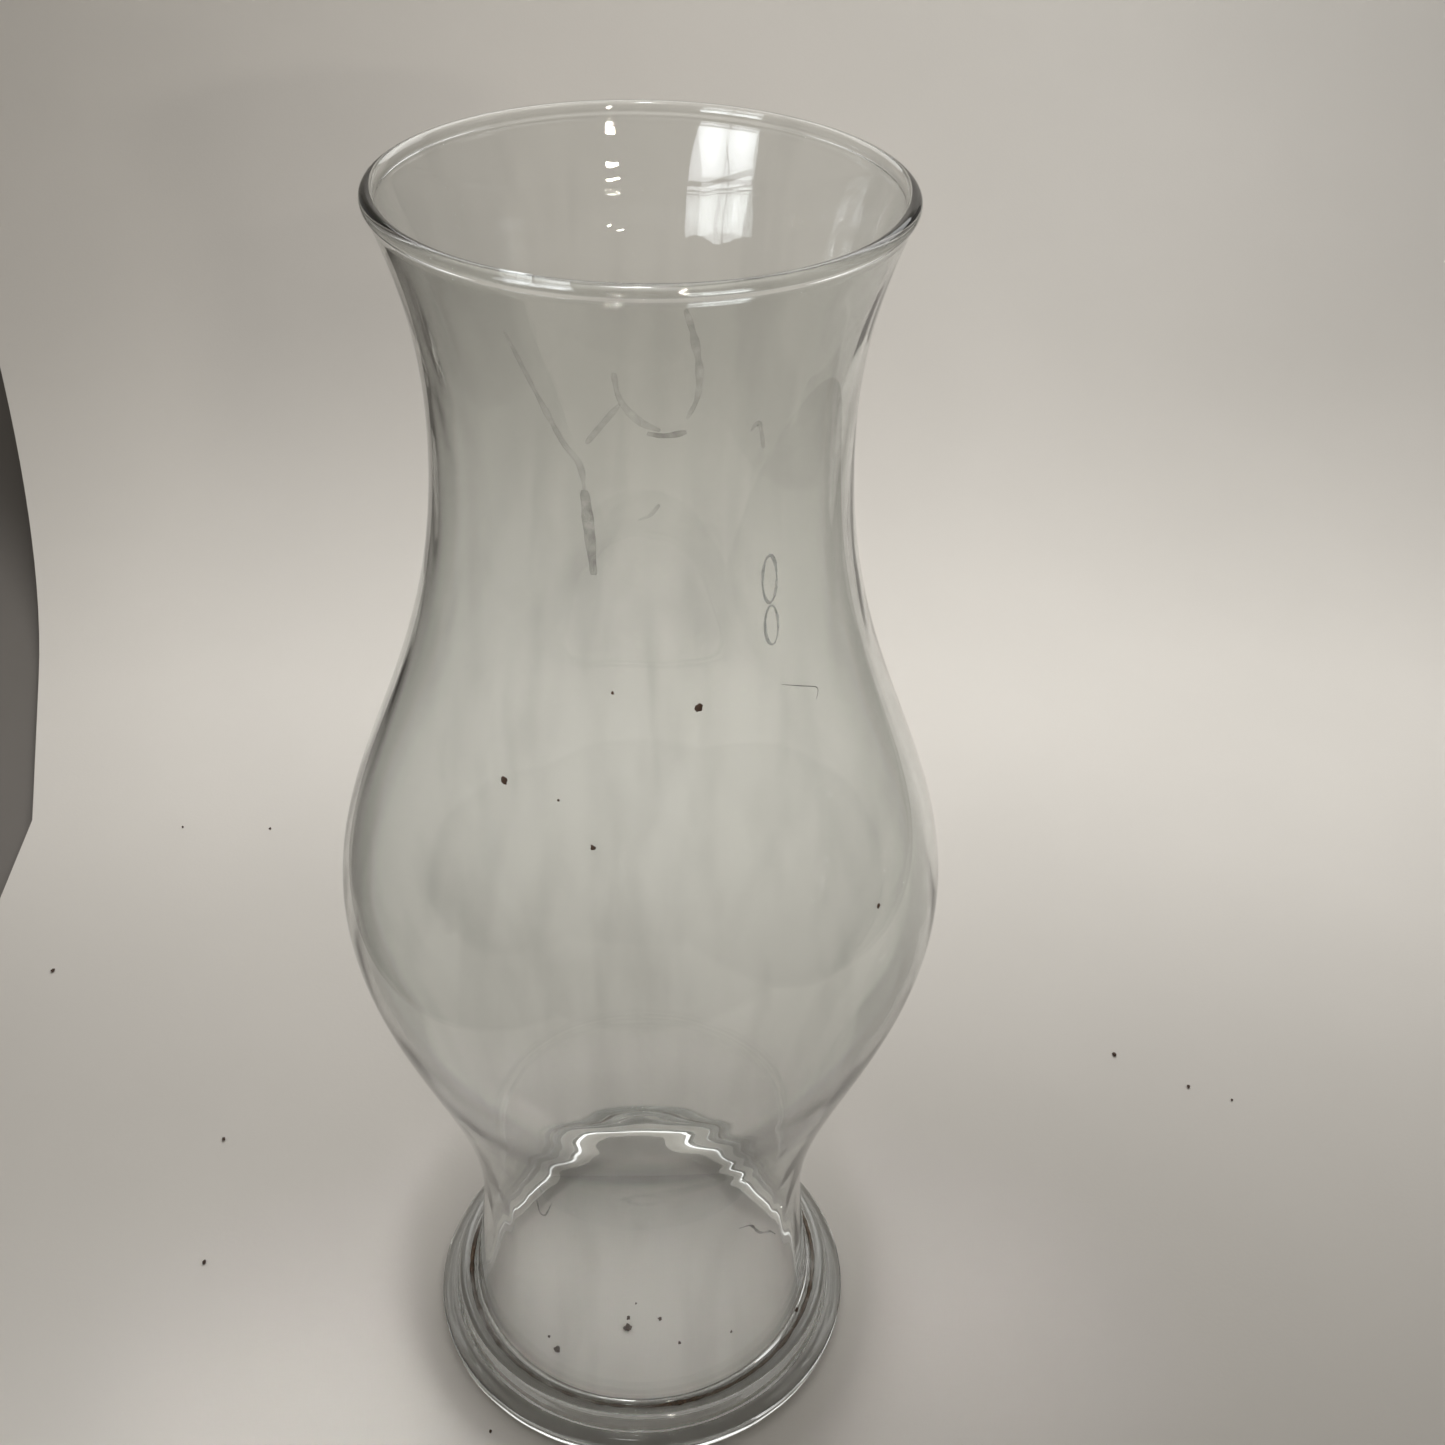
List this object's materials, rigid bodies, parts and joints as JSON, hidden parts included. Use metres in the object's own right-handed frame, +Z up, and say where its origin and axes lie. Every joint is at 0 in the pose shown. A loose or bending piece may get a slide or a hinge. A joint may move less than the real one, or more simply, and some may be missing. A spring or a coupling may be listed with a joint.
{
  "type": "hurricane vase",
  "caption": "Clear glass hurricane vase, open at both ends, with a flared beaded mouth, narrow neck, full belly, waist and stepped foot ring, to stand round a candle or round flowers in foam.",
  "frame": {"origin": "centre of the foot ring, on the plane of the table it stands on", "axes": "+Z up along the axis of revolution, from the foot to the mouth; +X and +Y are free, because the vase is round"},
  "size_m": [0.1306, 0.1306, 0.3],
  "materials": {
    "clear_glass": "clear blown glass, fire-polished",
    "thick_glass": "clear pressed glass, slightly grey-green where thick"
  },
  "bodies": {
    "root": {"stem": "clear_glass", "lower_belly": "clear_glass", "upper_belly": "clear_glass", "neck": "clear_glass", "lip": "clear_glass", "foot": "thick_glass"}
  },
  "joints": []
}
